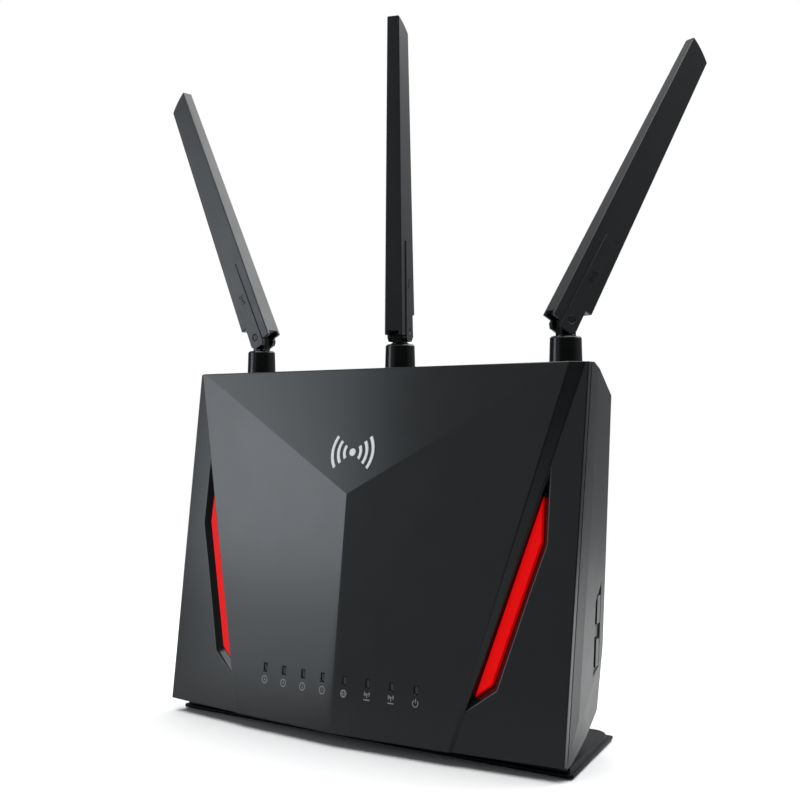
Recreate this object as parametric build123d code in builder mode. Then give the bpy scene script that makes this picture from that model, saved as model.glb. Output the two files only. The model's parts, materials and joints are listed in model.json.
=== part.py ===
from build123d import *
import math
import os

os.makedirs("parts", exist_ok=True)

# ---------------------------------------------------------------- driving dimensions, mm
# Frame: X to the right seen from the front, Y backward, Z up.
# The origin is on the floor in the middle of the foot.
SHIFT = 42.0  # from the front panel's lower edge back to the origin
TOP = 160.0  # top of the body
LOW = 5.7  # lower edge of the front panel
HALF = 110.0  # half the width of the front panel
LEAN = 18.5  # the panel's top edge stands this far behind its lower edge
BAND = 12.5  # depth of the upright band behind each side edge of the front panel
BAND_DRAFT = 0.2  # the bands close in this much per mm toward the back
DRAFT = 0.362  # and the side walls behind them this much
WALL_HALF = HALF + (DRAFT - BAND_DRAFT) * BAND  # where the side walls would meet the front panel
PAD = 0.6  # thickness of the rubber pads under the foot
CHIN = 1.8  # the side walls' lower and lower rear parts slope in by this much
RIDGE = 10.1  # how far the middle ridge is proud of the flat panel at the floor
FACET_X = 0.0666  # the two big facets fall back this much per mm sideways
FACET_Z = 0.0088  # and come forward this much per mm upward
PEAK_Z = 105.8  # height at which the ridge meets the upper triangle
TOP_PROUD = 4.7  # how far the facets are proud at the top edge
EDGE_LOW = 60.0  # half width of the raised facets at the lower edge
EDGE_HIGH = 104.0  # and at the top edge
WING = 0.106  # slope of the flat wings outside the facets
WALL = 2.3  # shell wall
PART_AT = 3.3  # depth of the front panel's side return
REVEAL = 0.3  # gap between the front panel and the rear housing
BACK_Y = 57.0  # back wall, from the panel's lower edge
BACK_LOW = 17.0  # lower end of the back wall
BACK_HIGH = 147.0  # upper end of the back wall
CHAMFER_Y = 25.0  # where the rear top slope starts
BOARD_Y = 34.0  # front face of the upright circuit board
BOARD_T = 1.6
JACK_FACE = 56.4  # face of the rear sockets
PORT_Z = 30.0  # centre height of the rear sockets
ANT_X = 87.5  # side antennas, from the middle
ANT_Y = 37.2
PIN_Z = 178.0  # height of the antenna hinge pins
SLEEVE_TOP = 171.5
SLEEVE_LOW = 160.3
BLADE = 139.6  # from the hinge pin to the tip
PIN_R = 1.4
AZIMUTHS = {"left": 180.0, "centre": 108.0, "right": 66.0}  # direction each blade folds
TILTS = {"left": 26.5, "centre": 0.0, "right": 31.0}  # how far each is folded as shown
PLACES = {"left": -ANT_X, "centre": 0.0, "right": ANT_X}
LED_X = [-42.7, -30.5, -18.3, -6.1, 6.1, 18.3, 30.5, 42.7]
LED_Z = 28.0
LAN_X = [-74.2, -59.7, -45.2, -30.7]
WAN_X = -13.0
USB_X = [18.0, 38.0]
POWER_X = 58.0
DC_X = 74.0
RESET_X = 3.0
SIDE_Y = 42.6  # middle of the two side buttons, from the panel's lower edge
SIDE_Z = [60.5, 43.0]
POSTS = [(88.0, 128.0), (-88.0, 128.0), (70.0, 60.0), (-70.0, 60.0)]
BOARD_SCREWS = [(76.0, 126.0), (-76.0, 126.0), (50.0, 56.0), (-50.0, 56.0)]


def depth(y):
    """A depth measured from the panel's lower edge, in the part's own frame."""
    return y - SHIFT


def flat_y(z):
    """Where the flat reference plane of the leaning front panel is at a height."""
    return LEAN * (z - LOW) / (TOP - LOW) - SHIFT


def front(x, proud, z):
    return Vector(x, flat_y(z) - proud, z)


def facet(x, z):
    """How far the big facets are proud of the reference plane."""
    return RIDGE - FACET_X * abs(x) + FACET_Z * z


def half_space(a, b, c, inside=(0.0, 0.0, 80.0)):
    """The plane through three points, facing the point that is kept."""
    normal = (b - a).cross(c - a)
    if normal.dot(Vector(*inside) - a) < 0:
        normal = normal * -1
    return Plane(origin=a, x_dir=b - a, z_dir=normal)


def facet_planes(inset):
    """The left and right facets and the upper triangle, moved in by inset."""
    planes = []
    for side in (-1, 1):
        a = front(0, facet(0, 0) - inset, 0)
        b = front(side * 100, facet(100, 0) - inset, 0)
        c = front(0, facet(0, 150) - inset, 150)
        planes.append(half_space(a, b, c))
    peak = front(0, facet(0, PEAK_Z) - inset, PEAK_Z)
    left = front(-102, TOP_PROUD - inset, TOP)
    right = front(102, TOP_PROUD - inset, TOP)
    planes.append(half_space(peak, left, right))
    return planes


def bevel_planes(inset):
    """The steep bands that drop from the facets to the wings."""
    planes = []
    for side in (-1, 1):
        low = front(side * (EDGE_LOW - inset), facet(EDGE_LOW, LOW) - inset, LOW)
        high = front(side * (EDGE_HIGH - inset), TOP_PROUD - inset, TOP)
        down = Vector(low.X + side, low.Y + 1.0, low.Z)
        planes.append(half_space(low, high, down))
    return planes


def wing_planes(inset):
    planes = []
    for side in (-1, 1):
        a = front(side * HALF, -inset, LOW)
        b = front(side * HALF, -inset, TOP)
        c = front(side * (HALF - 50), WING * 50 - inset, LOW)
        planes.append(half_space(a, b, c))
    return planes


def side_planes(inset, half=HALF, draft=BAND_DRAFT):
    """Two side faces parallel to the panel's side edges, closing in toward the back."""
    planes = []
    for side in (-1, 1):
        x = side * (half - inset)
        a = Vector(x, flat_y(LOW), LOW)
        b = Vector(x, flat_y(TOP), TOP)
        c = Vector(x - side * draft * 50, flat_y(LOW) + 50, LOW)
        planes.append(half_space(a, b, c))
    return planes


def chin_planes(inset):
    """The faces that slope in below and behind the side walls' lower corners."""
    planes = []
    for near, far, deep in [((14, 21.5), (34, 21.5), (14, 5)), ((24, 21.5), (38.3, 31.5), (57, 17))]:
        for side in (-1, 1):
            points = []
            for (y, z), sunk in ((near, 0), (far, 0), (deep, CHIN)):
                p = wall_point(y, z, inset + sunk)
                points.append(Vector(side * p.X, p.Y, p.Z))
            planes.append(half_space(*points))
    return planes


def wall_point(y, z, inset):
    """A point on the right side wall, moved in by inset, at a depth and a height."""
    return Vector(WALL_HALF - inset - DRAFT * (y - SHIFT - flat_y(z)), depth(y), z)


def parting(at, keep_front):
    """A plane parallel to the leaning panel, at a depth behind it."""
    a = Vector(0, flat_y(LOW) + at, LOW)
    b = Vector(0, flat_y(TOP) + at, TOP)
    c = Vector(50, flat_y(LOW) + at, LOW)
    y = -300.0 if keep_front else 300.0
    return half_space(a, b, c, (0.0, y, 80.0))


def front_solid(inset, back, low, high):
    """The faceted front with its side returns, moved in by inset, back to a depth."""
    with BuildPart() as facets:
        with Locations((0, depth(20), 80)):
            Box(240, 120, 240)
        for plane in facet_planes(inset) + bevel_planes(inset) + side_planes(inset):
            split(bisect_by=plane, keep=Keep.TOP)
        split(bisect_by=parting(back, True), keep=Keep.TOP)
        split(bisect_by=Plane.XY.offset(low), keep=Keep.TOP)
        split(bisect_by=Plane.XY.offset(high), keep=Keep.BOTTOM)
    with BuildPart() as whole:
        with Locations((0, depth(20), 80)):
            Box(240, 120, 240)
        for plane in facet_planes(inset) + wing_planes(inset) + side_planes(inset):
            split(bisect_by=plane, keep=Keep.TOP)
        split(bisect_by=parting(back, True), keep=Keep.TOP)
        split(bisect_by=Plane.XY.offset(low), keep=Keep.TOP)
        split(bisect_by=Plane.XY.offset(high), keep=Keep.BOTTOM)
        add(facets.part)
    return whole.part


def wing_surface(deep):
    """The right wing's plane, moved in by deep; recess and accent outlines lie on it."""
    a = front(HALF, -deep, LOW)
    b = front(HALF - 50, WING * 50 - deep, LOW)
    c = front(HALF, -deep, TOP)
    return half_space(a, b, c, (0.0, -500.0, 80.0))


def on_wing(plane, deep, points):
    """Points given as sideways position and height, as the plane's own coordinates."""
    local = []
    for x, z in points:
        p = plane.to_local_coords(front(x, WING * (HALF - x) - deep, z))
        local.append((p.X, p.Y))
    return local


RECESS = [(96.4, 117.5), (96.9, 88.7), (90.5, 69.0), (79.1, 31.5), (65.9, 22.2)]
ACCENT = [(93.2, 109.5), (94.0, 89.5), (86.7, 66.4), (76.2, 32.8), (67.6, 26.6)]
RECESS_DEEP = 3.0
ACCENT_T = 1.5


def recess_solid():
    """The sloped recess around an accent strip; it is carried a little past the surface."""
    past = 0.6
    grow = past / RECESS_DEEP
    rim = [(r[0] + (r[0] - f[0]) * grow, r[1] + (r[1] - f[1]) * grow) for r, f in zip(RECESS, ACCENT)]
    top = wing_surface(-past)
    floor = wing_surface(RECESS_DEEP)
    with BuildPart() as hollow:
        with BuildSketch(floor):
            Polygon(*on_wing(floor, RECESS_DEEP, ACCENT), align=None)
        with BuildSketch(top):
            Polygon(*on_wing(top, -past, rim), align=None)
        loft(ruled=True)
    return hollow.part


def accent_solid():
    seat = wing_surface(RECESS_DEEP - 0.06)
    with BuildPart() as strip:
        with BuildSketch(seat):
            Polygon(*on_wing(seat, RECESS_DEEP - 0.06, ACCENT), align=None)
            offset(amount=-0.35, kind=Kind.INTERSECTION, mode=Mode.REPLACE)
        extrude(amount=ACCENT_T, taper=12)
    return strip.part


def save(part, name):
    part.label = name
    export_step(part, "parts/" + name + ".step")


# ---------------------------------------------------------------- front panel
with BuildPart() as front_panel:
    add(front_solid(0, PART_AT, LOW, TOP))
    add(front_solid(WALL, PART_AT + 20, LOW + WALL, TOP - WALL), mode=Mode.SUBTRACT)
    # backing behind the accent recesses, so that the shell stays closed there
    with BuildPart(mode=Mode.PRIVATE) as backing:
        add(front_solid(1.0, PART_AT, LOW + 1, TOP - 1))
        with BuildSketch(wing_surface(RECESS_DEEP + WALL)) as cover:
            Polygon(*on_wing(wing_surface(RECESS_DEEP + WALL), RECESS_DEEP + WALL,
                             [(100, 124), (100, 86), (82, 28), (62, 16), (70, 60)]), align=None)
        extrude(cover.sketch, amount=30, mode=Mode.INTERSECT)
    add(backing.part)
    mirror(backing.part, about=Plane.YZ)
    recess = recess_solid()
    add(recess, mode=Mode.SUBTRACT)
    mirror(recess, about=Plane.YZ, mode=Mode.SUBTRACT)
    # window slots
    with BuildSketch(Plane.XZ.offset(SHIFT + 20)) as slots:
        for x in LED_X:
            with Locations((x, LED_Z)):
                Rectangle(1.9, 3.5)
    extrude(slots.sketch, amount=-40, mode=Mode.SUBTRACT)
    # screw posts that reach back to the rear wall
    for x, z in POSTS:
        with BuildSketch(Plane.XZ.offset(-depth(50.0))) as post:
            with Locations((x, z)):
                Circle(3.4)
        extrude(post.sketch, amount=50.0 - (flat_y(z) + SHIFT) + facet(x, z) - 1.2)
    for x, z in POSTS:
        with BuildSketch(Plane.XZ.offset(-depth(50.0))) as pilot:
            with Locations((x, z)):
                Circle(1.3)
        extrude(pilot.sketch, amount=14, mode=Mode.SUBTRACT)

save(front_panel.part, "front_panel")

with BuildPart() as accent_right:
    add(accent_solid())
save(accent_right.part, "accent_right")

with BuildPart() as accent_left:
    mirror(accent_right.part, about=Plane.YZ)
save(accent_left.part, "accent_left")


# ---------------------------------------------------------------- badge on the upper triangle
triangle = facet_planes(0)[2]
badge_at = triangle.to_local_coords(front(0, facet(0, PEAK_Z), 124.0))
face = Plane(origin=triangle.from_local_coords((badge_at.X, badge_at.Y, -0.02)),
             x_dir=(1, 0, 0), z_dir=triangle.z_dir * -1)
with BuildPart() as badge:
    with BuildSketch(face):
        for radius in (11.4, 8.0, 4.6):
            Circle(radius + 0.75)
            Circle(radius - 0.75, mode=Mode.SUBTRACT)
        for up in (-1, 1):
            Polygon((0, 0), (20, up * 15), (20, up * 25), (-20, up * 25), (-20, up * 15),
                    align=None, mode=Mode.SUBTRACT)
        Circle(1.7)
    extrude(amount=0.4)
save(badge.part, "badge")

# ---------------------------------------------------------------- light pipes and lamps
with BuildPart() as light_pipes:
    for x in LED_X:
        start = flat_y(LED_Z) - facet(x, LED_Z) + 0.35
        with Locations((x, (start + depth(32.6)) / 2, LED_Z)):
            Box(1.5, depth(32.6) - start, 3.1)
    with Locations((0, depth(13), LED_Z)):
        Box(90, 2.0, 1.6)
save(light_pipes.part, "light_pipes")

with BuildPart() as lamps:
    with Locations(*[(x, depth(33.3), LED_Z) for x in LED_X]):
        Box(2.0, 1.2, 2.0)
save(lamps.part, "lamps")


# ---------------------------------------------------------------- rear housing
def wall_plane(inset):
    """The right side wall, facing outward, moved in by inset."""
    a = Vector(WALL_HALF - inset, flat_y(LOW), LOW)
    up = Vector(0, LEAN, TOP - LOW)
    back = Vector(-DRAFT, 1, 0)
    normal = back.cross(up)
    return Plane(origin=a, x_dir=back, z_dir=normal)


def on_wall(plane, inset, points):
    local = []
    for y, z in points:
        p = plane.to_local_coords(wall_point(y, z, inset))
        local.append((p.X, p.Y))
    return local


def box_on_wall(y, z, half_y, half_z):
    return [(y - half_y, z - half_z), (y + half_y, z - half_z),
            (y + half_y, z + half_z), (y - half_y, z + half_z)]


def wall_prism(points, out, inward):
    """A prism through the right wall, from out in front of it to inward behind it."""
    plane = wall_plane(0)
    with BuildPart() as prism:
        with BuildSketch(plane.offset(out)):
            Polygon(*on_wall(plane, 0, points), align=None)
        extrude(amount=-(out + inward))
    return prism.part


def round_on_wall(y, z, radius, out, inward):
    plane = wall_plane(0)
    with BuildPart() as peg:
        with BuildSketch(plane.offset(out)):
            with Locations(on_wall(plane, 0, [(y, z)])[0]):
                Circle(radius)
        extrude(amount=-(out + inward))
    return peg.part


def housing_solid(inset, at):
    """The tapering body behind the front panel, moved in by inset."""
    low, high = inset * 1.04, inset
    profile = [(-20.0, 4.9 + low), (9.0, 4.4 + low), (12.0, 4.2 + low), (BACK_Y - 0.4 - inset, 17.0 + low - inset * 0.29),
               (BACK_Y - inset, 17.5 + low - inset * 0.29), (BACK_Y - inset, BACK_HIGH - inset * 0.68),
               (CHAMFER_Y - inset * 0.25, TOP - high), (-20.0, TOP - high)]
    with BuildPart() as body:
        with BuildSketch(Plane.YZ):
            Polygon(*[(depth(y), z) for y, z in profile], align=None)
        extrude(amount=120, both=True)
        for plane in side_planes(inset) + side_planes(inset, WALL_HALF, DRAFT) + chin_planes(inset):
            split(bisect_by=plane, keep=Keep.TOP)
        split(bisect_by=parting(at, False), keep=Keep.TOP)
        if inset == 0:
            rear = [e for e in body.edges() if e.center().Y > depth(BACK_Y) - 2.5
                    and abs(e.center().X) > 80 and abs(e.tangent_at(0.5).Z) > 0.7 and e.length > 10]
            fillet(rear, radius=3.0)
    return body.part


def rear_cut(shapes, start, end):
    """Cuts straight through along Y for a list of (x, z, width, height) openings."""
    with BuildPart() as tool:
        for x, z, width, height in shapes:
            with Locations((x, depth((start + end) / 2), z)):
                Box(width, end - start, height)
    return tool.part


LAN_MID = sum(LAN_X) / 4
PORTS = [(LAN_MID, PORT_Z, 58.7, 14.7), (WAN_X, PORT_Z, 16.5, 14.7), (DC_X, PORT_Z, 10.6, 11.6)]
PORTS += [(x, PORT_Z, 14.9, 7.3) for x in USB_X]
VENT_ROWS = [74.0 + 6.2 * k for k in range(10)]

with BuildPart() as rear_housing:
    add(housing_solid(0, PART_AT + REVEAL))
    add(housing_solid(WALL, PART_AT - 5), mode=Mode.SUBTRACT)
    # lip that locates the front panel
    with BuildPart(mode=Mode.PRIVATE) as lip:
        add(housing_solid(WALL - 0.6, PART_AT - 2.2))
        add(housing_solid(WALL + 0.7, PART_AT - 10), mode=Mode.SUBTRACT)
        split(bisect_by=parting(PART_AT + 6, True), keep=Keep.TOP)
        add(front_solid(WALL + 0.3, PART_AT + 20, LOW + WALL + 0.3, TOP - WALL - 0.3), mode=Mode.INTERSECT)
    add(lip.part)
    # bosses for the circuit board, the front panel's posts and the antenna sockets
    for x, z in BOARD_SCREWS:
        with BuildSketch(Plane.XZ.offset(-depth(BOARD_Y + BOARD_T + 0.05))) as boss:
            with Locations((x, z)):
                Circle(3.2)
        extrude(boss.sketch, amount=-(BACK_Y - 1 - BOARD_Y - BOARD_T))
    for x, z in POSTS:
        with BuildSketch(Plane.XZ.offset(-depth(50.3))) as boss:
            with Locations((x, z)):
                Circle(4.8)
        extrude(boss.sketch, amount=-5.5)
    for name, x in PLACES.items():
        with BuildSketch(Plane.XY.offset(150.0)) as stand:
            with Locations((x, depth(ANT_Y))):
                Circle(7.6)
        extrude(stand.sketch, amount=10.0)
    # sockets, buttons, screws and vents
    add(rear_cut(PORTS, 50, 60), mode=Mode.SUBTRACT)
    with BuildSketch(Plane.XZ.offset(-depth(60))) as rounds:
        with Locations((POWER_X, PORT_Z)):
            Circle(4.9)
        with Locations((RESET_X, PORT_Z)):
            Circle(1.7)
        with Locations(*POSTS):
            Circle(1.7)
    extrude(rounds.sketch, amount=12, mode=Mode.SUBTRACT)
    with BuildSketch(Plane.XZ.offset(-depth(60))) as counterbores:
        with Locations(*POSTS):
            Circle(3.3)
    extrude(counterbores.sketch, amount=7.5, mode=Mode.SUBTRACT)
    with BuildSketch(Plane.XZ.offset(-depth(BOARD_Y + BOARD_T - 1))) as pilots:
        with Locations(*BOARD_SCREWS):
            Circle(1.1)
    extrude(pilots.sketch, amount=-14, mode=Mode.SUBTRACT)
    with BuildSketch(Plane.XZ.offset(-depth(60))) as vents:
        for row, z in enumerate(VENT_ROWS):
            for x in (-66, -32, 32, 66):
                lean = 1.6 if x < 0 else -1.6
                with Locations((x, z)):
                    Polygon((-14 - lean, -1.3), (14 - lean, -1.3), (14 + lean, 1.3), (-14 + lean, 1.3))
    extrude(vents.sketch, amount=8, mode=Mode.SUBTRACT)
    with BuildSketch(Plane.XZ.offset(-depth(60))) as label:
        with Locations((0, 56)):
            RectangleRounded(76, 16, 2)
    extrude(label.sketch, amount=3.5, mode=Mode.SUBTRACT)
    for name, x in PLACES.items():
        with BuildSketch(Plane.XY.offset(145.0)) as bore:
            with Locations((x, depth(ANT_Y))):
                Circle(3.3)
        extrude(bore.sketch, amount=20, mode=Mode.SUBTRACT)
    # shallow recess around the two side buttons
    add(wall_prism([(48.2, 70.5), (38.6, 64.0), (38.2, 54.0), (41.4, 52.3), (38.2, 49.5), (38.2, 34.0),
                    (48.2, 36.5)], 2.0, 0.8), mode=Mode.SUBTRACT)
    for z in SIDE_Z:
        add(wall_prism(box_on_wall(43.4, z, 3.1, 6.0), 2.0, 4.0), mode=Mode.SUBTRACT)
    # pegs that carry the side switch board
    for z in (75.0, 28.6):
        add(round_on_wall(43.4, z, 2.0, -1.0, 11.95))
save(rear_housing.part, "rear_housing")

with BuildPart() as housing_screws:
    for x, z in POSTS:
        with BuildSketch(Plane.XZ.offset(-depth(55.0))) as head:
            with Locations((x, z)):
                Circle(2.9)
        extrude(head.sketch, amount=2.3)
        with BuildSketch(Plane.XZ.offset(-depth(55.0))) as shank:
            with Locations((x, z)):
                Circle(1.25)
        extrude(shank.sketch, amount=17.0)
        with BuildSketch(Plane.XZ.offset(-depth(55.1))) as cross:
            with Locations((x, z)):
                Rectangle(3.4, 0.8)
                Rectangle(0.8, 3.4)
        extrude(cross.sketch, amount=1.2, mode=Mode.SUBTRACT)
save(housing_screws.part, "housing_screws")

# ---------------------------------------------------------------- foot
OUTLINE = [(-107.6, 6.4), (107.6, 6.4), (109.1, 7.9), (86.0, 76.4), (-86.0, 76.4), (-109.1, 7.9)]
DECK = [(-107.6, 8.2), (107.6, 8.2), (85.0, 75.4), (-85.0, 75.4)]
with BuildPart() as foot:
    with BuildSketch(Plane.XY.offset(PAD)) as plate:
        Polygon(*[(x, depth(y)) for x, y in OUTLINE], align=None)
        rear = plate.vertices().group_by(Axis.Y)[-1]
        fillet(rear, radius=1.2)
    extrude(plate.sketch, amount=1.5)
    # raised deck with round rear corners
    with BuildSketch(Plane.XY.offset(PAD + 1.5)) as deck:
        Polygon(*[(x, depth(y)) for x, y in DECK], align=None)
        rear = deck.vertices().group_by(Axis.Y)[-1]
        fillet(rear, radius=11)
    extrude(deck.sketch, amount=1.9, taper=14)
    # wedge under the sloped bottom of the housing
    with BuildSketch(Plane.YZ) as wedge:
        Polygon(*[(depth(y), z) for y, z in [(15.0, 2.5), (15.0, 4.9), (53.0, 15.8), (56.0, 14.5), (69.0, 2.5)]],
                align=None)
    extrude(wedge.sketch, amount=76, both=True)
save(foot.part, "foot")

with BuildPart() as foot_pads:
    for x, y in [(-92, 17), (92, 17), (-74, 68), (74, 68), (0, 42)]:
        with BuildSketch(Plane.XY) as pad:
            with Locations((x, depth(y))):
                SlotOverall(22, 9) if x else Circle(7)
        extrude(pad.sketch, amount=PAD)
save(foot_pads.part, "foot_pads")

# ---------------------------------------------------------------- circuit board and what is on it
with BuildPart() as circuit_board:
    with BuildSketch(Plane.XZ.offset(-depth(BOARD_Y + BOARD_T))) as outline:
        with Locations((0, 79)):
            Rectangle(166, 118)
        corners = outline.vertices()
        fillet(corners, radius=3)
        with Locations(*BOARD_SCREWS):
            Circle(1.3, mode=Mode.SUBTRACT)
        with Locations((70, 60), (-70, 60)):
            Circle(4.2, mode=Mode.SUBTRACT)
    extrude(outline.sketch, amount=BOARD_T)
save(circuit_board.part, "circuit_board")

with BuildPart() as board_screws:
    for x, z in BOARD_SCREWS:
        with BuildSketch(Plane.XZ.offset(-depth(BOARD_Y - 0.02))) as head:
            with Locations((x, z)):
                Circle(2.4)
        extrude(head.sketch, amount=1.8)
        with BuildSketch(Plane.XZ.offset(-depth(BOARD_Y - 0.02))) as shank:
            with Locations((x, z)):
                Circle(1.05)
        extrude(shank.sketch, amount=-9.0)
save(board_screws.part, "board_screws")

with BuildPart() as chips:
    with Locations((-14, depth(33.15), 96), (14, depth(33.15), 96)):
        Box(20, 1.6, 20)
    with Locations((-58, depth(33.3), 100), (-58, depth(33.3), 78), (58, depth(33.3), 92)):
        Box(14, 1.3, 12)
save(chips.part, "chips")

with BuildPart() as heatsink:
    with Locations((0, depth(30.75), 96)):
        Box(66, 3.0, 48)
    with Locations(*[(-31.5 + 5.25 * k, depth(23.3), 96) for k in range(13)]):
        Box(1.4, 12.1, 48)
save(heatsink.part, "heatsink")

with BuildPart() as shield_cans:
    for x in (-27, 27):
        with Locations((x, depth(37.6), 96)):
            Box(44, 3.9, 40)
        with Locations((x, depth(37.3), 96)):
            Box(43.2, 3.6, 39.2, mode=Mode.SUBTRACT)
save(shield_cans.part, "shield_cans")

with BuildPart() as transformers:
    with Locations((-62, depth(31.4), 44), (-36, depth(31.4), 44), (-12, depth(31.4), 44)):
        Box(20, 5.0, 9)
save(transformers.part, "transformers")

with BuildPart() as capacitors:
    for x, z in [(66.5, 48.5), (76.5, 48.5), (26, 50), (36, 50)]:
        with BuildSketch(Plane.XZ.offset(-depth(BOARD_Y + BOARD_T + 0.05))) as can:
            with Locations((x, z)):
                Circle(3.8)
        extrude(can.sketch, amount=-11)
save(capacitors.part, "capacitors")

with BuildPart() as inner_antenna:
    with Locations((0, depth(BOARD_Y - 0.33), 132)):
        Box(30, 0.6, 6)
    with Locations((0, depth(BOARD_Y - 3.5), 134.7)):
        Box(24, 7.0, 0.6)
save(inner_antenna.part, "inner_antenna")


def jack(x, width):
    """One network socket cavity, as a tool to cut from a socket block."""
    with BuildPart() as tool:
        with Locations((x, depth(JACK_FACE - 6.5), PORT_Z + 0.4)):
            Box(12.0, 13.2, 7.4)
        with Locations((x, depth(JACK_FACE - 6.5), PORT_Z - 4.0)):
            Box(6.2, 13.2, 1.6)
        with Locations((x, depth(JACK_FACE - 6.5), PORT_Z - 5.3)):
            Box(3.4, 13.2, 1.2)
    return tool.part


BEHIND = BOARD_Y + BOARD_T + 0.05
with BuildPart() as lan_sockets:
    with Locations((LAN_MID, depth((BEHIND + JACK_FACE) / 2), PORT_Z)):
        Box(58.0, JACK_FACE - BEHIND, 14.0)
    for x in LAN_X:
        add(jack(x, 12), mode=Mode.SUBTRACT)
save(lan_sockets.part, "lan_sockets")

with BuildPart() as wan_socket:
    with Locations((WAN_X, depth((BEHIND + JACK_FACE) / 2), PORT_Z)):
        Box(15.8, JACK_FACE - BEHIND, 14.0)
    add(jack(WAN_X, 12), mode=Mode.SUBTRACT)
save(wan_socket.part, "wan_socket")

with BuildPart() as socket_contacts:
    for x in LAN_X + [WAN_X]:
        with Locations(*[(x - 3.57 + 1.02 * k, depth(48.0), PORT_Z + 3.8) for k in range(8)]):
            Box(0.4, 8.0, 0.4)
save(socket_contacts.part, "socket_contacts")

with BuildPart() as usb_shells:
    for x in USB_X:
        with Locations((x, depth((BEHIND + JACK_FACE) / 2), PORT_Z)):
            Box(14.2, JACK_FACE - BEHIND, 6.7)
        with Locations((x, depth((BEHIND + 3 + JACK_FACE + 1) / 2), PORT_Z)):
            Box(13.3, JACK_FACE - BEHIND - 2, 5.8, mode=Mode.SUBTRACT)
save(usb_shells.part, "usb_shells")

with BuildPart() as usb_tongues:
    for x in USB_X:
        with Locations((x, depth(46.4), PORT_Z + 1.1)):
            Box(11.6, 15.2, 1.9)
save(usb_tongues.part, "usb_tongues")

with BuildPart() as power_jack:
    with Locations((DC_X, depth((BEHIND + JACK_FACE) / 2), PORT_Z)):
        Box(9.8, JACK_FACE - BEHIND, 11.0)
    with BuildSketch(Plane.XZ.offset(-depth(JACK_FACE + 1))) as mouth:
        with Locations((DC_X, PORT_Z)):
            Circle(3.1)
    extrude(mouth.sketch, amount=11, mode=Mode.SUBTRACT)
save(power_jack.part, "power_jack")

with BuildPart() as power_jack_pin:
    with BuildSketch(Plane.XZ.offset(-depth(JACK_FACE - 1.5))) as centre_pin:
        with Locations((DC_X, PORT_Z)):
            Circle(1.0)
    extrude(centre_pin.sketch, amount=8.4)
save(power_jack_pin.part, "power_jack_pin")


def peg_along_y(x, z, radius, start, end):
    with BuildPart() as peg:
        with BuildSketch(Plane.XZ.offset(-depth(end))) as round_end:
            with Locations((x, z)):
                Circle(radius)
        extrude(round_end.sketch, amount=end - start)
    return peg.part


with BuildPart() as rear_switches:
    with Locations((POWER_X, depth((BEHIND + 46.4) / 2), PORT_Z)):
        Box(9.0, 46.4 - BEHIND, 9.0)
    with Locations((RESET_X, depth((BEHIND + 46.4) / 2), PORT_Z)):
        Box(6.0, 46.4 - BEHIND, 6.0)
save(rear_switches.part, "rear_switches")

with BuildPart() as power_button:
    add(peg_along_y(POWER_X, PORT_Z, 4.5, 53.4, 58.4))
    chamfer(power_button.edges().group_by(Axis.Y)[-1], length=0.5)
    add(peg_along_y(POWER_X, PORT_Z, 5.8, 52.2, 53.4))
    add(peg_along_y(POWER_X, PORT_Z, 2.2, 49.4, 52.3))
save(power_button.part, "power_button")

with BuildPart() as reset_button:
    add(peg_along_y(RESET_X, PORT_Z, 1.3, 53.0, 56.2))
    add(peg_along_y(RESET_X, PORT_Z, 2.6, 51.9, 53.1))
    add(peg_along_y(RESET_X, PORT_Z, 1.2, 47.9, 52.0))
save(reset_button.part, "reset_button")


# ---------------------------------------------------------------- side buttons and their switches
def side_button(z):
    with BuildPart() as cap:
        add(wall_prism(box_on_wall(43.4, z, 2.75, 5.65), 0.25, 3.0))
        add(wall_prism(box_on_wall(43.4, z, 4.1, 6.9), -2.75, 3.8))
        add(round_on_wall(43.4, z, 1.3, -3.7, 6.2))
    return cap.part


with BuildPart() as upper_side_button:
    add(side_button(SIDE_Z[0]))
save(upper_side_button.part, "upper_side_button")

with BuildPart() as lower_side_button:
    add(side_button(SIDE_Z[1]))
save(lower_side_button.part, "lower_side_button")

with BuildPart() as side_switches:
    add(wall_prism(box_on_wall(43.4, 51.8, 5.0, 26.5), -12.0, 13.2))
    for z in SIDE_Z:
        add(wall_prism(box_on_wall(43.4, z, 3.0, 3.0), -8.6, 12.1))
        add(round_on_wall(43.4, z, 1.5, -7.5, 8.7))
save(side_switches.part, "side_switches")

# ---------------------------------------------------------------- antennas
with BuildPart() as antenna_sockets:
    for name, x in PLACES.items():
        with BuildSketch(Plane.XY.offset(149.9)) as thread:
            with Locations((x, depth(ANT_Y))):
                Circle(3.2)
        extrude(thread.sketch, amount=15.7)
        with BuildSketch(Plane.XY.offset(149.9)) as nut:
            with Locations((x, depth(ANT_Y))):
                RegularPolygon(5.6, 6)
        extrude(nut.sketch, amount=-3.2)
        with BuildSketch(Plane.XY.offset(146.8)) as tail:
            with Locations((x, depth(ANT_Y))):
                Circle(2.2)
        extrude(tail.sketch, amount=-5.8)
save(antenna_sockets.part, "antenna_sockets")

with BuildPart() as pigtails:
    for x, root in ((-ANT_X, -62.0), (0.0, 20.0), (ANT_X, 62.0)):
        start = Vector(root, depth(37.6), 132.0)
        end = Vector(x, depth(ANT_Y), 140.95)
        with BuildLine() as path:
            Spline(start, end, tangents=[(0.0, 0.3, 1.0), (0.0, 0.0, 1.0)])
        with BuildSketch(Plane(origin=end, z_dir=(0, 0, -1))) as wire:
            Circle(0.7)
        sweep(wire.sketch, path=path.line)
        with Locations((root, depth(36.7), 131.2)):
            Box(3.4, 2.0, 3.4)
save(pigtails.part, "pigtails")


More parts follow.
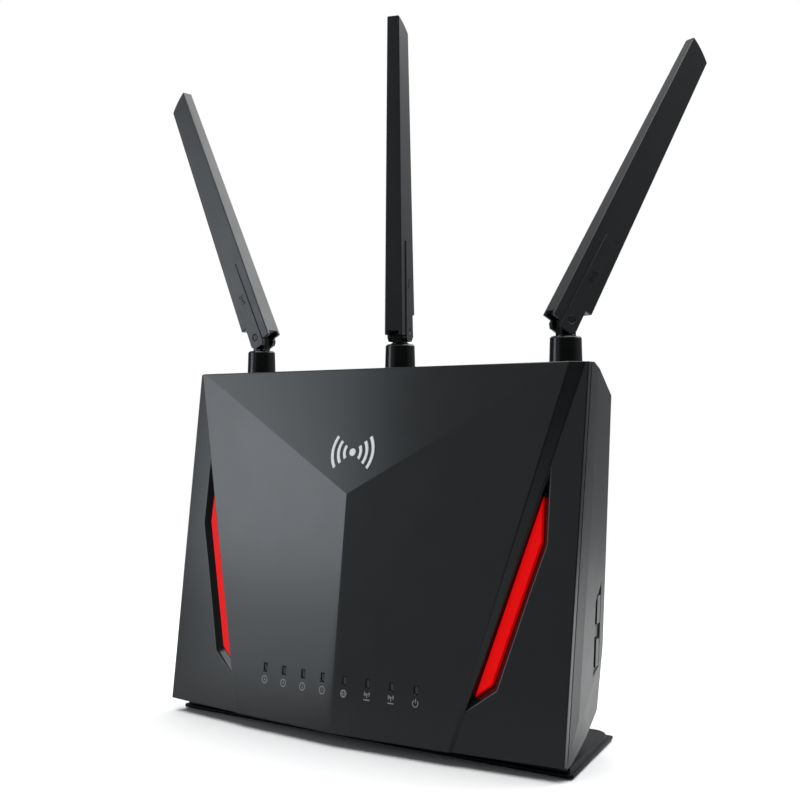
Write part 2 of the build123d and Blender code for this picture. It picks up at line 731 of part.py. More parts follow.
def antenna_frame(name, folded):
    """Origin on the hinge pin, X the way the blade folds, Y along the pin, Z up or along the blade."""
    a = math.radians(AZIMUTHS[name])
    t = math.radians(TILTS[name]) if folded else 0.0
    out = Vector(math.cos(a), math.sin(a), 0)
    up = Vector(0, 0, 1)
    along = up * math.cos(t) + out * math.sin(t)
    across = out * math.cos(t) - up * math.sin(t)
    return Plane(origin=(PLACES[name], depth(ANT_Y), PIN_Z), x_dir=across, z_dir=along)


with BuildPart() as sleeve:
    with BuildSketch(Plane.XZ) as outer:
        Polygon((0, SLEEVE_LOW - PIN_Z), (6.8, SLEEVE_LOW - PIN_Z), (6.5, SLEEVE_TOP - PIN_Z - 0.7),
                (5.8, SLEEVE_TOP - PIN_Z), (0, SLEEVE_TOP - PIN_Z), align=None)
    revolve(axis=Axis.Z)
    with BuildSketch(Plane.XY.offset(SLEEVE_LOW - PIN_Z - 1)) as thread_hole:
        Circle(3.3)
    extrude(thread_hole.sketch, amount=8, mode=Mode.SUBTRACT)
    with BuildSketch(Plane.XY.offset(166.0 - PIN_Z)) as chamber:
        Circle(5.2)
    extrude(chamber.sketch, amount=2.7, mode=Mode.SUBTRACT)
    with BuildSketch(Plane.XY.offset(168.0 - PIN_Z)) as neck_hole:
        Circle(4.05)
    extrude(neck_hole.sketch, amount=8, mode=Mode.SUBTRACT)

with BuildPart() as knuckle:
    with BuildSketch(Plane.XY.offset(166.3 - PIN_Z)) as disc:
        Circle(4.9)
    extrude(disc.sketch, amount=2.0)
    with BuildSketch(Plane.XY.offset(168.2 - PIN_Z)) as stem:
        Circle(4.0)
    extrude(stem.sketch, amount=3.9)
    with BuildSketch(Plane.XZ) as tongue:
        Rectangle(7.2, 6.5, align=(Align.CENTER, Align.MAX))
        Circle(3.6)
        Circle(PIN_R + 0.02, mode=Mode.SUBTRACT)
    extrude(tongue.sketch, amount=2.2, both=True)

with BuildPart() as hinge_pin:
    with BuildSketch(Plane.XZ) as pin_round:
        Circle(PIN_R)
    extrude(pin_round.sketch, amount=4.45, both=True)

BODY = [(-8.4, -2.6), (-3.9, -2.6), (-3.9, -3.6), (-2.4, -5.4), (2.2, -5.4), (4.3, -3.2), (4.3, 6.9), (7.5, 6.9)]
STRIP = [(-3.9, -3.6), (-2.4, -5.4), (2.2, -5.4), (4.3, -3.2), (2.8, 36.4), (-3.5, 40.0)]


def taper_solid(extra):
    """The blade's thickness: wide at the hinge, thin at the tip."""
    low, high = 4.2 + extra, 2.9 + extra
    slope = (low - high) / BLADE
    with BuildPart() as wedge:
        with BuildSketch(Plane.YZ) as trapezium:
            Polygon((-low - 8 * slope, -8), (low + 8 * slope, -8), (high - 3 * slope, BLADE + 3),
                    (-high + 3 * slope, BLADE + 3), align=None)
        extrude(trapezium.sketch, amount=20, both=True)
    return wedge.part


with BuildPart() as blade:
    with BuildSketch(Plane.XZ) as face_outline:
        with BuildLine() as edge:
            Polyline(*([(-8.8, BLADE)] + BODY + [(2.6, BLADE - 5.4)]))
            ThreePointArc((2.6, BLADE - 5.4), (-2.9, BLADE - 2.2), (-8.8, BLADE))
        make_face()
    extrude(face_outline.sketch, amount=8, both=True)
    add(taper_solid(0.0), mode=Mode.INTERSECT)
    with BuildPart(mode=Mode.PRIVATE) as strip:
        with BuildSketch(Plane.XZ) as strip_outline:
            Polygon(*STRIP, align=None)
        extrude(strip_outline.sketch, amount=8, both=True)
        add(taper_solid(0.45), mode=Mode.INTERSECT)
    add(strip.part)
    # fork for the knuckle's tongue, open below and to both sides
    with BuildSketch(Plane.XZ) as gap:
        with BuildLine():
            Polyline((-4.6, 5.6), (12, 5.6), (12, -10), (-12, -10), (-12, -0.8), (-4.6, -0.8), close=True)
        make_face()
    extrude(gap.sketch, amount=2.55, both=True, mode=Mode.SUBTRACT)
    with BuildSketch(Plane.XZ) as pin_hole:
        Circle(PIN_R + 0.05)
    extrude(pin_hole.sketch, amount=8, both=True, mode=Mode.SUBTRACT)
    with BuildSketch(Plane.XY.offset(5.0)) as pocket:
        with Locations((-1.6, 0)):
            Rectangle(5.6, 2.2)
    extrude(pocket.sketch, amount=105.0, mode=Mode.SUBTRACT)

with BuildPart() as radiator:
    with Locations((-1.6, 0, 58.5)):
        Box(5.0, 0.8, 100.0)
    with Locations((-1.6, 0, 32.0)):
        Box(4.4, 1.6, 30.0)

for name in PLACES:
    upright = antenna_frame(name, False).location
    folded = antenna_frame(name, True).location
    save(sleeve.part.moved(upright), "sleeve_" + name)
    save(knuckle.part.moved(upright), "knuckle_" + name)
    save(hinge_pin.part.moved(upright), "hinge_pin_" + name)
    save(blade.part.moved(folded), "blade_" + name)
    save(radiator.part.moved(folded), "radiator_" + name)
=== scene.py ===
"""The wireless router's looks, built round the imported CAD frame. Metres, in the frame's own axes."""

import json
import math

import bmesh
import bpy
from mathutils import Matrix, Vector
from mathutils.bvhtree import BVHTree


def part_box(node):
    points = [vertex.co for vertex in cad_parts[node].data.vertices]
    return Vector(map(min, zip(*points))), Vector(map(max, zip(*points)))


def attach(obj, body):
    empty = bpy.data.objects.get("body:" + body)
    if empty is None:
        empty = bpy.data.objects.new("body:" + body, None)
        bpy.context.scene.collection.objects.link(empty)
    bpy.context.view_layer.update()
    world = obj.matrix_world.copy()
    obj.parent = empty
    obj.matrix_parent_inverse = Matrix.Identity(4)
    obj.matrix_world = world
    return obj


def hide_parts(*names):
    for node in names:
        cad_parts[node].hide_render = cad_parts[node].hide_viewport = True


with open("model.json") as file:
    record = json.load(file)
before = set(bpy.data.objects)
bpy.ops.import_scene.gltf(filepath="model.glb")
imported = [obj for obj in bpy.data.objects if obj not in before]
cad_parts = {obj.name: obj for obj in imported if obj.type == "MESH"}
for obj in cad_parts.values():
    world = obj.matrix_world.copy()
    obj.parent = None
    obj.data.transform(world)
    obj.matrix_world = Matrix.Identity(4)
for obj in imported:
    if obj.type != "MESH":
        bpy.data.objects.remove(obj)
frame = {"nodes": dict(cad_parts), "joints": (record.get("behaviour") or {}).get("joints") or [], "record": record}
NODES = frame["nodes"]
JOINTS = {joint["name"]: joint for joint in frame["joints"]}
SLOT_OF = {part["node"]: part["material_slot"] for part in frame["record"]["subparts"]}
BODY_OF = {node: body for body, members in frame["record"]["behaviour"]["bodies"].items() for node in members}
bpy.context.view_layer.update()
MM = 0.001
SIDES = ("left", "centre", "right")


# ---------------------------------------------------------------- camera and studio
LENS = 62.16
CAMERA_PLACE = (0.39233, -0.48440, 0.13392)
CAMERA_TURN = (91.17, 0.0, 39.29)  # degrees
COOL = (0.92, 0.99, 1.05)
AIM = Vector((0.0, 0.0, 0.12))  # what the lamps point at
FLOOR_DROP = 0.00005  # how far the floor lies under the foot
FLOOR_SEEN = 0.93  # the floor's shade to the camera
FLOOR_BEFORE, FLOOR_BEHIND = 0.38, 0.88  # its shade to every other ray, before and behind the object
FLOOR_CHANGE = 0.06  # half the width over which the two meet


def add_camera():
    optics = bpy.data.cameras.new("photo_camera")
    optics.sensor_width = 36.0
    optics.lens = LENS
    optics.clip_start = 0.01
    camera = bpy.data.objects.new("photo_camera", optics)
    camera.location = CAMERA_PLACE
    camera.rotation_euler = [math.radians(turn) for turn in CAMERA_TURN]
    bpy.context.scene.collection.objects.link(camera)
    bpy.context.scene.camera = camera


def add_node(tree, kind, inputs=None, **settings):
    """A shader node; an input is a plain value or another node's output socket."""
    node = tree.nodes.new(kind)
    for key, value in settings.items():
        setattr(node, key, value)
    for key, value in (inputs or {}).items():
        if isinstance(value, bpy.types.NodeSocket):
            tree.links.new(value, node.inputs[key])
        else:
            node.inputs[key].default_value = value
    return node


def add_range(tree, value, given, wanted, **settings):
    """The output of a node that maps one range to another, smoothly unless the settings say otherwise."""
    settings.setdefault("interpolation_type", "SMOOTHSTEP")
    inputs = {"Value": value, "From Min": given[0], "From Max": given[1],
              "To Min": wanted[0], "To Max": wanted[1]}
    return add_node(tree, "ShaderNodeMapRange", inputs, **settings).outputs[0]


def add_world(seen, front, low, back):
    """A room that is bright high up behind the object and dimmer elsewhere; the camera sees it plain."""
    world = bpy.data.worlds.new("studio")
    world.use_nodes = True
    tree = world.node_tree
    tree.nodes.clear()
    toward = add_node(tree, "ShaderNodeTexCoord").outputs["Generated"]
    split = add_node(tree, "ShaderNodeSeparateXYZ", {0: toward})
    upper = add_range(tree, split.outputs["Z"], (0.05, 0.5), (low, back))
    level = add_range(tree, split.outputs["Y"], (-0.1, 0.6), (front, upper))
    room = add_node(tree, "ShaderNodeBackground", {"Color": (0.93, 0.98, 1.0, 1.0), "Strength": level})
    plain = add_node(tree, "ShaderNodeBackground", {"Color": (1.0, 1.0, 1.0, 1.0), "Strength": seen})
    path = add_node(tree, "ShaderNodeLightPath")
    mixed = add_node(tree, "ShaderNodeMixShader",
                     {0: path.outputs["Is Camera Ray"], 1: room.outputs[0], 2: plain.outputs[0]})
    add_node(tree, "ShaderNodeOutputWorld", {"Surface": mixed.outputs[0]})
    bpy.context.scene.world = world


def add_softbox(name, azimuth, elevation, distance, width, height, power, colour=(1, 1, 1)):
    """A rectangular lamp. Its azimuth goes from straight before the object toward its left."""
    az, el = math.radians(azimuth), math.radians(elevation)
    out = Vector((-math.sin(az) * math.cos(el), -math.cos(az) * math.cos(el), math.sin(el)))
    lamp = bpy.data.lights.new(name, "AREA")
    lamp.shape = "RECTANGLE"
    lamp.size = width
    lamp.size_y = height
    lamp.energy = power
    lamp.color = colour
    placed = bpy.data.objects.new(name, lamp)
    placed.location = AIM + out * distance
    placed.rotation_euler = out.to_track_quat("Z", "Y").to_euler()
    placed.visible_camera = False
    bpy.context.scene.collection.objects.link(placed)


def add_floor(solid, radius):
    """A pale round floor that fades into the studio beyond solid. Its front half throws less light back."""
    bm = bmesh.new()
    bmesh.ops.create_circle(bm, cap_ends=True, segments=96, radius=radius)
    mesh = bpy.data.meshes.new("floor")
    bm.to_mesh(mesh)
    bm.free()
    floor = bpy.data.objects.new("floor", mesh)
    floor.location.z = -FLOOR_DROP
    bpy.context.scene.collection.objects.link(floor)
    material = bpy.data.materials.new("floor_paper")
    material.use_nodes = True
    tree = material.node_tree
    tree.nodes.clear()
    place = add_node(tree, "ShaderNodeTexCoord").outputs["Object"]
    away = add_node(tree, "ShaderNodeVectorMath", {0: place}, operation="LENGTH")
    fade = add_range(tree, away.outputs["Value"], (solid, radius), (0.0, 1.0))
    across = add_node(tree, "ShaderNodeSeparateXYZ", {0: place})
    flag = add_range(tree, across.outputs["Y"], (-FLOOR_CHANGE, FLOOR_CHANGE), (FLOOR_BEFORE, FLOOR_BEHIND))
    path = add_node(tree, "ShaderNodeLightPath")
    tone = add_node(tree, "ShaderNodeMix",
                    {"Factor": path.outputs["Is Camera Ray"], "A": flag, "B": FLOOR_SEEN})
    paper = add_node(tree, "ShaderNodeBsdfDiffuse", {"Color": tone.outputs["Result"]})
    clear = add_node(tree, "ShaderNodeBsdfTransparent")
    mixed = add_node(tree, "ShaderNodeMixShader", {0: fade, 1: paper.outputs[0], 2: clear.outputs[0]})
    add_node(tree, "ShaderNodeOutputMaterial", {"Surface": mixed.outputs[0]})
    mesh.materials.append(material)


add_camera()
add_world(seen=1.0, front=0.08, low=0.24, back=1.0)
add_floor(solid=0.30, radius=0.95)
add_softbox("key", azimuth=50.5, elevation=7.5, distance=1.3, width=0.44, height=0.34, power=1.05,
            colour=COOL)
add_softbox("key_wide", azimuth=50.5, elevation=8, distance=1.32, width=0.44, height=0.74, power=1.75,
            colour=COOL)
add_softbox("fill_front", azimuth=22, elevation=12, distance=1.31, width=0.66, height=0.85, power=0.6,
            colour=COOL)
add_softbox("overhead", azimuth=0, elevation=84, distance=1.2, width=1.5, height=1.5, power=24.5)
add_softbox("back_right", azimuth=200, elevation=42, distance=1.4, width=1.0, height=0.7, power=8)
bpy.context.scene.view_settings.view_transform = "Standard"


# ---------------------------------------------------------------- finishes
def make_finish(name, colour, roughness, grain=0.45, depth=0.012, cloud=14.0, spread=0.05, shade=0.06,
                metallic=0.0, ior=1.5, transmission=0.0, painted_glow=0.0):
    """A procedural finish: fine grain as bump, soft clouds in roughness and shade.

    Grain, depth and cloud are in mm.
    """
    material = bpy.data.materials.new(name)
    material.use_nodes = True
    tree = material.node_tree
    shader = tree.nodes["Principled BSDF"]
    place = add_node(tree, "ShaderNodeTexCoord").outputs["Object"]
    clouds = add_node(tree, "ShaderNodeTexNoise", {"Vector": place, "Scale": 1 / (cloud * MM), "Detail": 3.0})
    rough = add_range(tree, clouds.outputs["Fac"], (0.3, 0.7),
                      (max(0.02, roughness - spread), roughness + spread), interpolation_type="LINEAR")
    tree.links.new(rough, shader.inputs["Roughness"])
    speckle = add_node(tree, "ShaderNodeTexNoise",
                       {"Vector": place, "Scale": 1 / (grain * MM), "Detail": 2.0})
    both = add_node(tree, "ShaderNodeMath", {0: clouds.outputs["Fac"], 1: speckle.outputs["Fac"]},
                    operation="ADD")
    dark = tuple(c * (1 - shade) for c in colour) + (1.0,)
    light = tuple(min(1.0, c * (1 + shade)) for c in colour) + (1.0,)
    tone = add_range(tree, both.outputs[0], (0.7, 1.3), (0.0, 1.0), interpolation_type="LINEAR")
    tint = add_node(tree, "ShaderNodeMix", {"Factor": tone, "A": dark, "B": light}, data_type="RGBA")
    tree.links.new(tint.outputs["Result"], shader.inputs["Base Color"])
    bump = add_node(tree, "ShaderNodeBump",
                    {"Height": speckle.outputs["Fac"], "Distance": depth * MM, "Strength": 1.0})
    tree.links.new(bump.outputs[0], shader.inputs["Normal"])
    shader.inputs["Metallic"].default_value = metallic
    shader.inputs["IOR"].default_value = ior
    shader.inputs["Transmission Weight"].default_value = transmission
    # painted light: emission in the finish's own colour makes the part glow though it is no lamp
    if painted_glow:
        shader.inputs["Emission Color"].default_value = (*colour, 1.0)
        shader.inputs["Emission Strength"].default_value = painted_glow
    return material


# per slot: colour, roughness, and what differs from the defaults of make_finish
FINISH_TABLE = {
    "front_plastic": ((0.0075, 0.0088, 0.0098), 0.21,
        {"grain": 0.4, "depth": 0.004, "spread": 0.01, "shade": 0.1, "ior": 1.45}),
    "housing_plastic": ((0.0135, 0.0145, 0.0155), 0.40, {"grain": 0.6, "depth": 0.03, "spread": 0.02}),
    "foot_plastic": ((0.0050, 0.0056, 0.0062), 0.45,
        {"grain": 0.6, "depth": 0.02, "spread": 0.02, "ior": 1.18}),
    # the red trim's emission is a painted glow that keeps it bright; the trim is no lamp
    "red_trim": ((0.80, 0.0012, 0.0018), 0.40,
        {"grain": 0.4, "depth": 0.002, "shade": 0.02, "ior": 1.22, "painted_glow": 0.37}),
    "silver_print": ((0.86, 0.87, 0.88), 0.3, {"grain": 0.2, "depth": 0.002, "shade": 0.03}),
    "clear_pipe": ((0.032, 0.034, 0.036), 0.25, {"depth": 0.002, "transmission": 0.15}),
    "lamp_white": ((0.80, 0.80, 0.74), 0.35, {"depth": 0.001}),
    "rubber": ((0.018, 0.018, 0.019), 0.75, {"grain": 0.4, "depth": 0.02}),
    "dark_screw": ((0.045, 0.045, 0.05), 0.35, {"depth": 0.004, "metallic": 0.9}),
    "board_green": ((0.008, 0.055, 0.024), 0.3, {"grain": 0.8, "depth": 0.01, "cloud": 4, "shade": 0.25}),
    "steel": ((0.56, 0.56, 0.57), 0.3, {"depth": 0.003, "metallic": 1.0}),
    "chip_black": ((0.018, 0.018, 0.019), 0.55, {"grain": 0.2, "depth": 0.004}),
    "aluminium": ((0.62, 0.63, 0.65), 0.35, {"depth": 0.004, "metallic": 1.0}),
    "tin_plate": ((0.60, 0.59, 0.56), 0.24, {"depth": 0.002, "metallic": 1.0}),
    "socket_black": ((0.012, 0.012, 0.013), 0.4, {"depth": 0.004}),
    "socket_blue": ((0.010, 0.065, 0.33), 0.4, {"depth": 0.004}),
    "gold": ((0.75, 0.50, 0.20), 0.25, {"depth": 0.002, "metallic": 1.0}),
    "tongue_blue": ((0.012, 0.12, 0.48), 0.4, {"depth": 0.003}),
    "cable_black": ((0.014, 0.014, 0.015), 0.5, {"depth": 0.005}),
    "button_black": ((0.0140, 0.0150, 0.0160), 0.4, {"grain": 0.4, "depth": 0.012, "spread": 0.02}),
    "reset_red": ((0.35, 0.012, 0.008), 0.45, {"depth": 0.004}),
    "sleeve_gloss": ((0.0030, 0.0032, 0.0035), 0.22, {"grain": 0.8, "depth": 0.004, "ior": 1.4}),
    "antenna_plastic": ((0.0120, 0.0134, 0.0144), 0.36, {"grain": 0.5, "depth": 0.012, "spread": 0.02}),
}
FINISHES = {slot: make_finish(slot, colour, roughness, **rest)
            for slot, (colour, roughness, rest) in FINISH_TABLE.items()}
PRINT = make_finish("printed_ink", (0.30, 0.31, 0.32), 0.45, grain=0.15, depth=0.001)
PRINT_FAINT = make_finish("rear_ink", (0.42, 0.43, 0.44), 0.5, grain=0.15, depth=0.001)
BLANK_LABEL = make_finish("blank_label", (0.42, 0.43, 0.44), 0.45, grain=0.3, depth=0.003)

for name, node in NODES.items():
    node.material_slots[0].material = FINISHES[SLOT_OF[name]]


# ---------------------------------------------------------------- rounded edges
SHARP_ANGLE = math.radians(28.0)  # an edge sharper than this is rounded
CREASE_ANGLE = math.radians(1.5)  # a flatter one stays crisp from here, between faces that are
CREASE_BREADTH = 2.5 * MM  # at least this broad
MERGE_GAP = 2e-6
FLAT_ANGLE = math.radians(0.4)
ALONG = 0.86  # cosine from which a neighbouring edge counts as running the same way
ROOM_SHARE = 0.35  # how much of the room a rounding may take


def round_room(edge):
    """The shortest neighbouring edge that a rounding of this edge would slide along."""
    room = 1.0
    way = (edge.verts[1].co - edge.verts[0].co).normalized()
    for corner in edge.verts:
        for other in corner.link_edges:
            if other is not edge:
                step = other.other_vert(corner).co - corner.co
                if step.length > 0 and abs(step.normalized().dot(way)) < ALONG:
                    room = min(room, step.length)
    return room


def breadth(face):
    return face.calc_area() / max(edge.calc_length() for edge in face.edges)


def rounded(node, width, segments=3):
    """A copy of a CAD node that stands for it: sharp edges rounded by up to width mm, creases kept crisp."""
    bm = bmesh.new()
    bm.from_mesh(NODES[node].data)
    bmesh.ops.remove_doubles(bm, verts=bm.verts, dist=MERGE_GAP)
    bmesh.ops.dissolve_limit(bm, angle_limit=FLAT_ANGLE, verts=bm.verts, edges=bm.edges)
    weight = bm.edges.layers.float.new("bevel_weight_edge")
    creases = []
    for edge in bm.edges:
        if len(edge.link_faces) != 2:
            continue
        angle = edge.calc_face_angle()
        if angle > SHARP_ANGLE:
            edge[weight] = min(1.0, ROOM_SHARE * round_room(edge) / (width * MM))
        elif angle > CREASE_ANGLE and min(breadth(face) for face in edge.link_faces) > CREASE_BREADTH:
            creases.append(edge)
    for face in bm.faces:
        face.smooth = True
    for edge in creases:
        edge.smooth = False
    mesh = bpy.data.meshes.new(node + "_rounded")
    bm.to_mesh(mesh)
    bm.free()
    mesh.materials.append(FINISHES[SLOT_OF[node]])
    piece = bpy.data.objects.new(node + "_rounded", mesh)
    bpy.context.scene.collection.objects.link(piece)
    bevel = piece.modifiers.new("edges", "BEVEL")
    bevel.limit_method = "WEIGHT"
    bevel.width = width * MM
    bevel.segments = segments
    bevel.use_clamp_overlap = False
    normals = piece.modifiers.new("normals", "WEIGHTED_NORMAL")
    normals.weight = 60
    normals.keep_sharp = True
    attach(piece, BODY_OF[node])
    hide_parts(node)


ROUNDING = {  # node: the rounding's width, mm
    "front_panel": 0.45, "rear_housing": 0.3, "foot": 0.35, "foot_pads": 0.2,
    "accent_left": 0.15, "accent_right": 0.15, "badge": 0.08, "housing_screws": 0.12,
    "lan_sockets": 0.25, "wan_socket": 0.25, "usb_shells": 0.12, "usb_tongues": 0.15,
    "power_jack": 0.3, "power_jack_pin": 0.2, "power_button": 0.2, "reset_button": 0.15,
    "upper_side_button": 0.15, "lower_side_button": 0.15, "light_pipes": 0.12,
}
for side in SIDES:
    ROUNDING["blade_" + side] = 0.5
    ROUNDING["sleeve_" + side] = 0.2
    ROUNDING["knuckle_" + side] = 0.25
    ROUNDING["hinge_pin_" + side] = 0.15
for node, width in ROUNDING.items():
    rounded(node, width)


# ---------------------------------------------------------------- printed marks
def surface_of(node):
    mesh = NODES[node].data
    return BVHTree.FromPolygons([v.co.copy() for v in mesh.vertices],
                                [tuple(p.vertices) for p in mesh.polygons])


class Sheet:
    """Marks drawn flat in mm, later laid on a surface."""

    def __init__(self):
        self.bm = bmesh.new()

    def band(self, points, width, closed=False):
        """A band of even width along a line of points."""
        points = [Vector(p) for p in points]
        count = len(points)
        rows = []
        for i, point in enumerate(points):
            before = points[i - 1] if (i or closed) else point
            after = points[(i + 1) % count] if (i + 1 < count or closed) else point
            one = (point - before).normalized() if (point - before).length else (after - point).normalized()
            two = (after - point).normalized() if (after - point).length else one
            across = Vector((-(one + two).y, (one + two).x)).normalized()
            reach = width / 2 / max(0.4, across.dot(Vector((-one.y, one.x))))
            rows.append([self.bm.verts.new((*(point + across * s * reach), 0.0)) for s in (-1, 1)])
        if closed:
            rows.append(rows[0])
        for a, b in zip(rows, rows[1:]):
            self.bm.faces.new((a[0], b[0], b[1], a[1]))

    def arc(self, centre, radius, width, start=0.0, end=360.0, steps=28):
        closed = end - start >= 360
        gaps = steps if closed else steps - 1
        turns = [math.radians(start + (end - start) * i / gaps) for i in range(steps)]
        self.band([(centre[0] + radius * math.cos(t), centre[1] + radius * math.sin(t)) for t in turns],
                  width, closed)

    def dot(self, centre, radius):
        turns = [math.tau * i / 16 for i in range(16)]
        self.bm.faces.new([self.bm.verts.new((centre[0] + radius * math.cos(t),
                                              centre[1] + radius * math.sin(t), 0.0)) for t in turns])

    def digit(self, text, centre, height):
        curve = bpy.data.curves.new("digit", "FONT")
        curve.body = text
        curve.size = height * 1.4
        curve.align_x = "CENTER"
        curve.align_y = "CENTER"
        holder = bpy.data.objects.new("digit", curve)
        bpy.context.scene.collection.objects.link(holder)
        bpy.context.view_layer.update()
        mesh = bpy.data.meshes.new_from_object(holder)
        mesh.transform(Matrix.Translation((centre[0], centre[1], 0.0)))
        self.bm.from_mesh(mesh)
        bpy.data.objects.remove(holder)
        bpy.data.curves.remove(curve)
        bpy.data.meshes.remove(mesh)


def waves(sheet, centre, size, width):
    """The generic radio mark: a dot with arcs on both sides."""
    sheet.dot(centre, 0.2 * size)
    for radius in (0.55 * size, size):
        sheet.arc(centre, radius, width, -40, 40, 10)
        sheet.arc(centre, radius, width, 140, 220, 10)


def lay(sheet, name, place, finish, body, thick=0.05):
    """Puts every point of the sheet where place(u, v) says and gives the marks a thickness."""
    for vert in sheet.bm.verts:
        vert.co = place(vert.co.x, vert.co.y)
    bmesh.ops.remove_doubles(sheet.bm, verts=sheet.bm.verts, dist=1e-6)
    bmesh.ops.recalc_face_normals(sheet.bm, faces=sheet.bm.faces)
    mesh = bpy.data.meshes.new(name)
    sheet.bm.to_mesh(mesh)
    sheet.bm.free()
    mesh.materials.append(finish)
    piece = bpy.data.objects.new(name, mesh)
    bpy.context.scene.collection.objects.link(piece)
    solid = piece.modifiers.new("thickness", "SOLIDIFY")
    solid.thickness = thick * MM
    solid.offset = 0.0
    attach(piece, body)


def caster(node, start, way):
    """place(u, v): the point where a ray from start(u, v) meets the node's surface."""
    tree = surface_of(node)

    def place(u, v):
        origin = start(u, v)
        hit = tree.ray_cast(origin, way)[0]
        return hit if hit is not None else origin
    return place


lamp_low, lamp_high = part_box("lamps")
LAMP_Z = (lamp_low.z + lamp_high.z) / 2 / MM
LAMP_COUNT = 8
LAMP_STEP = (lamp_high.x - lamp_low.x - 2 * MM) / (LAMP_COUNT - 1) / MM
LAMPS_X = [(i - (LAMP_COUNT - 1) / 2) * LAMP_STEP for i in range(LAMP_COUNT)]

# the icons under the windows: four numbers, a globe, two radio masts and power
ICON_Z = LAMP_Z - 5.2
INK = 0.34
front_marks = Sheet()
for number, x in zip("4321", LAMPS_X[:4]):
    front_marks.arc((x, ICON_Z), 1.55, INK)
    front_marks.digit(number, (x, ICON_Z), 1.45)
x = LAMPS_X[4]
front_marks.arc((x, ICON_Z), 1.45, INK)
front_marks.band([(x - 1.4, ICON_Z), (x + 1.4, ICON_Z)], INK * 0.8)
front_marks.arc((x - 0.9, ICON_Z), 1.6, INK * 0.8, -58, 58, 12)
front_marks.arc((x + 0.9, ICON_Z), 1.6, INK * 0.8, 122, 238, 12)
for x in LAMPS_X[5:7]:
    waves(front_marks, (x, ICON_Z + 1.1), 1.35, INK * 0.9)
    front_marks.band([(x, ICON_Z + 0.9), (x, ICON_Z - 0.5)], INK)
    front_marks.band([(x - 1.5, ICON_Z - 1.3), (x + 1.5, ICON_Z - 1.3)], INK * 1.3)
x = LAMPS_X[7]
front_marks.arc((x, ICON_Z), 1.35, INK, 125, 415, 20)
front_marks.band([(x, ICON_Z + 0.2), (x, ICON_Z + 1.9)], INK)
on_front = caster("front_panel", lambda u, v: Vector((u * MM, -0.2, v * MM)), Vector((0, 1, 0)))
lay(front_marks, "front_icons", on_front, PRINT, "body")


# marks on the back, read from behind
SOCKETS = {name: [(low + high) / 2 / MM for low, high in zip(*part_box(name))]
           for name in ("lan_sockets", "wan_socket", "usb_shells", "power_button", "power_jack",
                        "reset_button")}
PORT_Z = SOCKETS["wan_socket"][2]
ROW = PORT_Z + 10.4
LAN_STEP = 14.5
USB_HALF_STEP = 10.0
rear_marks = Sheet()
for k, number in enumerate("1234"):
    rear_marks.digit(number, (-SOCKETS["lan_sockets"][0] + (k - 1.5) * LAN_STEP, ROW), 2.6)
u = -SOCKETS["wan_socket"][0]
rear_marks.arc((u, ROW), 1.6, 0.3)
rear_marks.band([(u - 1.5, ROW), (u + 1.5, ROW)], 0.25)
rear_marks.arc((u - 1.05, ROW), 1.9, 0.25, -56, 56, 12)
rear_marks.arc((u + 1.05, ROW), 1.9, 0.25, 124, 236, 12)
for step in (-USB_HALF_STEP, USB_HALF_STEP):
    u = -SOCKETS["usb_shells"][0] + step
    rear_marks.band([(u - 2.2, ROW - 1.0), (u + 0.6, ROW - 1.0), (u + 0.6, ROW + 1.0), (u - 2.2, ROW + 1.0)],
                    0.28, closed=True)
    rear_marks.band([(u + 0.6, ROW - 0.65), (u + 2.0, ROW - 0.65), (u + 2.0, ROW + 0.65),
                     (u + 0.6, ROW + 0.65)], 0.24)
u = -SOCKETS["power_button"][0]
rear_marks.arc((u, ROW), 1.4, 0.32, 125, 415, 20)
rear_marks.band([(u, ROW + 0.2), (u, ROW + 2.0)], 0.32)
u = -SOCKETS["power_jack"][0]
rear_marks.arc((u, ROW), 1.1, 0.3, 35, 325, 18)
rear_marks.dot((u, ROW), 0.45)
rear_marks.band([(u, ROW), (u + 2.8, ROW)], 0.28)
rear_marks.band([(u - 2.8, ROW), (u - 1.1, ROW)], 0.28)
u = -SOCKETS["reset_button"][0]
rear_marks.arc((u, ROW - 3.4), 1.2, 0.28, -20, 250, 16)
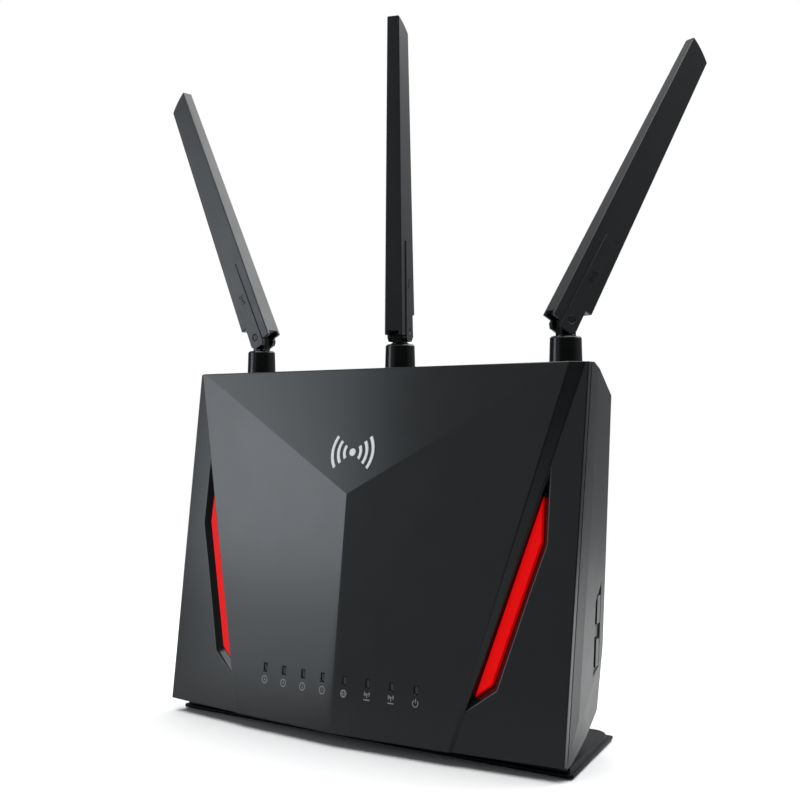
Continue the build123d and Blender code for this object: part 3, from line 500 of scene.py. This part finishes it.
rear_marks.band([(u + 0.5, ROW - 3.3), (u + 1.15, ROW - 3.9), (u + 1.8, ROW - 3.3)], 0.26)
on_back = caster("rear_housing", lambda u, v: Vector((-u * MM, 0.1, v * MM)), Vector((0, -1, 0)))
lay(rear_marks, "rear_icons", on_back, PRINT_FAINT, "body")

# a blank label in the recess above the sockets
LABEL_Z, LABEL_WIDTH, LABEL_HEIGHT = 56.0, 74.0, 14.0
LABEL_COLUMNS, LABEL_ROWS = 8, 2
label = Sheet()
grid = [[label.bm.verts.new((LABEL_WIDTH * (i / LABEL_COLUMNS - 0.5),
                             LABEL_Z + LABEL_HEIGHT * (j / LABEL_ROWS - 0.5), 0.0))
         for i in range(LABEL_COLUMNS + 1)] for j in range(LABEL_ROWS + 1)]
for low_row, high_row in zip(grid, grid[1:]):
    for a, b, c, d in zip(low_row, low_row[1:], high_row[1:], high_row):
        label.bm.faces.new((a, b, c, d))
lay(label, "blank_label", on_back, BLANK_LABEL, "body", thick=0.12)

# the same radio mark raised on both faces of every blade
MARK_ALONG, MARK_ACROSS = 21.0, -0.1  # its place from the hinge pin
MARK_SIZE, MARK_LINE, MARK_RAISED = 2.2, 0.32, 0.5
for side in SIDES:
    joint = JOINTS["fold_" + side]
    pin, across_pin = Vector(joint["pos_m"]), Vector(joint["axis"]).normalized()
    tilt = -math.radians(joint["range_deg"][0])
    out = across_pin.cross(Vector((0, 0, 1)))
    along = Vector((0, 0, math.cos(tilt))) + out * math.sin(tilt)
    across = out * math.cos(tilt) - Vector((0, 0, math.sin(tilt)))
    for face in (-1, 1):
        mark = Sheet()
        waves(mark, (0.0, 0.0), MARK_SIZE, MARK_LINE)
        middle = pin + across_pin * (0.03 * face) + along * (MARK_ALONG * MM) + across * (MARK_ACROSS * MM)
        seat = caster("blade_" + side, lambda u, v: middle + along * (u * MM) + across * (v * MM),
                      across_pin * -face)
        lay(mark, f"blade_mark_{side}_{'front' if face < 0 else 'rear'}", seat, FINISHES["antenna_plastic"],
            BODY_OF["blade_" + side], thick=MARK_RAISED)
